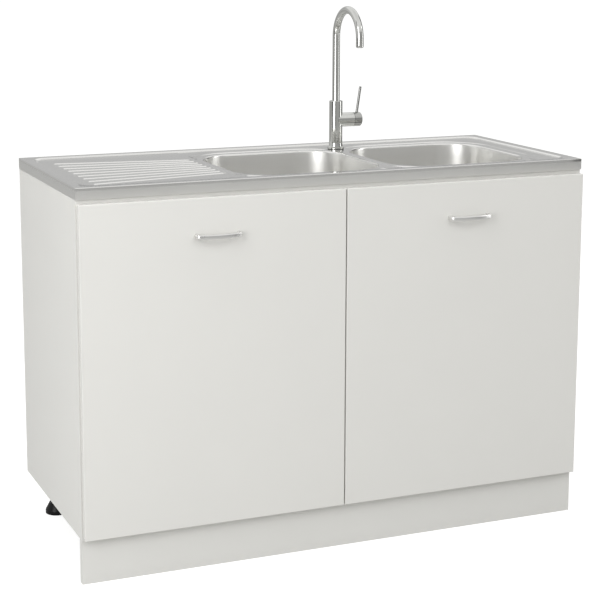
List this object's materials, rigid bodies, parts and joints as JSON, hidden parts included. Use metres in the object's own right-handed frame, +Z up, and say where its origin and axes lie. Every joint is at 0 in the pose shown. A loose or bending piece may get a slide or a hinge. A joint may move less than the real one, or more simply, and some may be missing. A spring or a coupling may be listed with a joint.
{
  "type": "kitchen sink unit",
  "caption": "White two-door cabinet on adjustable legs carrying a lay-on steel sink with drainer, bowls and a swan-neck mixer tap.",
  "frame": {"origin": "on the floor, under the middle of the overall box (handles to wall edge)", "axes": "+X along the front to the right, +Y to the wall, +Z up"},
  "size_m": [1.2, 0.54, 1.1929],
  "materials": {
    "white_board": "semi-gloss white faced chipboard",
    "white_hardboard": "white faced hardboard",
    "gloss_door": "glossy white film",
    "beech": "raw beech",
    "zinc_alloy": "die-cast",
    "zinc_steel": "zinc plated",
    "black_plastic": "moulded",
    "sink_steel": "fine brushed stainless",
    "strainer_steel": "polished stainless",
    "white_pipe_plastic": "moulded",
    "seal_rubber": "soft black rubber",
    "clear_rubber": "clear soft bumper",
    "tap_chrome": "polished chrome",
    "tap_brass": "turned brass",
    "grey_plastic": "moulded",
    "hinge_steel": "nickel plated",
    "satin_metal": "satin"
  },
  "bodies": {
    "cabinet": {"left_side_panel": "white_board", "right_side_panel": "white_board", "bottom_panel": "white_board", "front_rail": "white_board", "rear_rail": "white_board", "back_panel": "white_hardboard", "plinth_board": "white_board", "assembly_dowels": "beech", "cam_locks": "zinc_alloy", "cam_bolts": "zinc_steel", "leg_sockets": "black_plastic", "plinth_clips": "black_plastic", "sink_deck": "sink_steel", "left_bowl": "sink_steel", "right_bowl": "sink_steel", "sink_clips": "zinc_steel", "left_waste_flange": "strainer_steel", "right_waste_flange": "strainer_steel", "left_waste_body": "white_pipe_plastic", "right_waste_body": "white_pipe_plastic", "left_branch_pipe": "white_pipe_plastic", "right_branch_pipe": "white_pipe_plastic", "waste_tee": "white_pipe_plastic", "pipe_nuts": "white_pipe_plastic", "trap_body": "white_pipe_plastic", "trap_cup": "white_pipe_plastic", "outlet_pipe": "white_pipe_plastic", "sealing_gaskets": "seal_rubber", "tap_body": "tap_chrome", "tap_shank": "tap_brass", "tap_nut": "tap_brass", "tap_washer": "zinc_steel", "mixing_cartridge": "grey_plastic", "hinge_plates": "hinge_steel", "hinge_arms": "hinge_steel", "hinge_screws": "hinge_steel"},
    "left_basket": {"left_basket": "strainer_steel"},
    "right_basket": {"right_basket": "strainer_steel"},
    "left_hinge_links": {"left_hinge_links": "hinge_steel"},
    "right_hinge_links": {"right_hinge_links": "hinge_steel"},
    "spout": {"spout": "tap_chrome", "aerator": "grey_plastic"},
    "lever_cap": {"lever_cap": "tap_chrome"},
    "lever_pin": {"lever_pin": "tap_chrome"},
    "left_door": {"left_door": "gloss_door", "left_handle": "satin_metal", "left_handle_screws": "zinc_steel", "left_door_bumpers": "clear_rubber", "left_hinge_cups": "hinge_steel"},
    "right_door": {"right_door": "gloss_door", "right_handle": "satin_metal", "right_handle_screws": "zinc_steel", "right_door_bumpers": "clear_rubber", "right_hinge_cups": "hinge_steel"},
    "rear_left_foot": {"rear_left_foot": "black_plastic"},
    "rear_middle_foot": {"rear_middle_foot": "black_plastic"},
    "rear_right_foot": {"rear_right_foot": "black_plastic"},
    "front_left_foot": {"front_left_foot": "black_plastic"},
    "front_middle_foot": {"front_middle_foot": "black_plastic"},
    "front_right_foot": {"front_right_foot": "black_plastic"}
  },
  "joints": [
    {"name": "left_hinge_link_turn", "type": "hinge", "parent": "cabinet", "child": "left_hinge_links", "pos_m": [-0.5746, -0.223, 0.459], "axis": [0, 0, 1], "range_deg": [0, 25]},
    {"name": "left_door_swing", "type": "hinge", "parent": "left_hinge_links", "child": "left_door", "pos_m": [-0.589, -0.23, 0.459], "axis": [0, 0, -1], "range_deg": [0, 125]},
    {"name": "right_hinge_link_turn", "type": "hinge", "parent": "cabinet", "child": "right_hinge_links", "pos_m": [0.5746, -0.223, 0.459], "axis": [0, 0, -1], "range_deg": [0, 25]},
    {"name": "right_door_swing", "type": "hinge", "parent": "right_hinge_links", "child": "right_door", "pos_m": [0.589, -0.23, 0.459], "axis": [0, 0, 1], "range_deg": [0, 125]},
    {"name": "left_basket_lift", "type": "slide", "parent": "cabinet", "child": "left_basket", "axis": [0, 0, 1], "range_m": [0, 0.22]},
    {"name": "right_basket_lift", "type": "slide", "parent": "cabinet", "child": "right_basket", "axis": [0, 0, 1], "range_m": [0, 0.22]},
    {"name": "spout_swivel", "type": "hinge", "parent": "cabinet", "child": "spout", "pos_m": [0.156, 0.164, 0.9645], "axis": [0, 0, 1], "range_deg": [-120, 120]},
    {"name": "lever_temperature_turn", "type": "hinge", "parent": "cabinet", "child": "lever_cap", "pos_m": [0.2089, 0.164, 0.9175], "axis": [1, 0, 0], "range_deg": [-45, 45]},
    {"name": "lever_flow_rock", "type": "hinge", "parent": "lever_cap", "child": "lever_pin", "pos_m": [0.2089, 0.164, 0.9175], "axis": [0, 1, 0], "range_deg": [-8, 14]},
    {"name": "rear_left_foot_height", "type": "slide", "parent": "cabinet", "child": "rear_left_foot", "axis": [0, 0, -1], "range_m": [-0.01, 0.02]},
    {"name": "rear_middle_foot_height", "type": "slide", "parent": "cabinet", "child": "rear_middle_foot", "axis": [0, 0, -1], "range_m": [-0.01, 0.02]},
    {"name": "rear_right_foot_height", "type": "slide", "parent": "cabinet", "child": "rear_right_foot", "axis": [0, 0, -1], "range_m": [-0.01, 0.02]},
    {"name": "front_left_foot_height", "type": "slide", "parent": "cabinet", "child": "front_left_foot", "axis": [0, 0, -1], "range_m": [-0.01, 0.02]},
    {"name": "front_middle_foot_height", "type": "slide", "parent": "cabinet", "child": "front_middle_foot", "axis": [0, 0, -1], "range_m": [-0.01, 0.02]},
    {"name": "front_right_foot_height", "type": "slide", "parent": "cabinet", "child": "front_right_foot", "axis": [0, 0, -1], "range_m": [-0.01, 0.02]}
  ],
  "couplings": [
    {"joint": "left_hinge_link_turn", "follows": "left_door_swing", "ratio": 0.2},
    {"joint": "right_hinge_link_turn", "follows": "right_door_swing", "ratio": 0.2}
  ]
}
